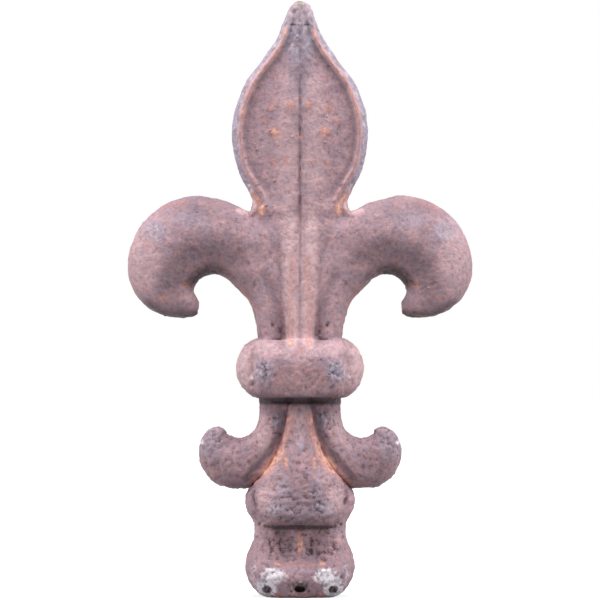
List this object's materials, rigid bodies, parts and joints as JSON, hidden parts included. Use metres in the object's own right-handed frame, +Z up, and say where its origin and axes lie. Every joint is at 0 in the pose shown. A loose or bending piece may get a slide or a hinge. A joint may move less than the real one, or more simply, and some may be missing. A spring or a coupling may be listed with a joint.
{
  "type": "fleur-de-lis finial",
  "caption": "Cast iron fleur-de-lis finial: ribbed blade, curled side petals, collar, small scrolls, bell and flared foot with a round socket underneath.",
  "frame": {"origin": "centre of the socket's mouth, in the plane of the foot's underside", "axes": "+Z up from the foot to the blade's point, X across the two petals, the pitted front face looks along -Y"},
  "size_m": [0.0954, 0.0264, 0.165],
  "materials": {
    "iron": "bare cast iron under an old thin coat, mauve-brown with fine orange rust, matt"
  },
  "bodies": {
    "root": {"finial": "iron"}
  },
  "joints": []
}
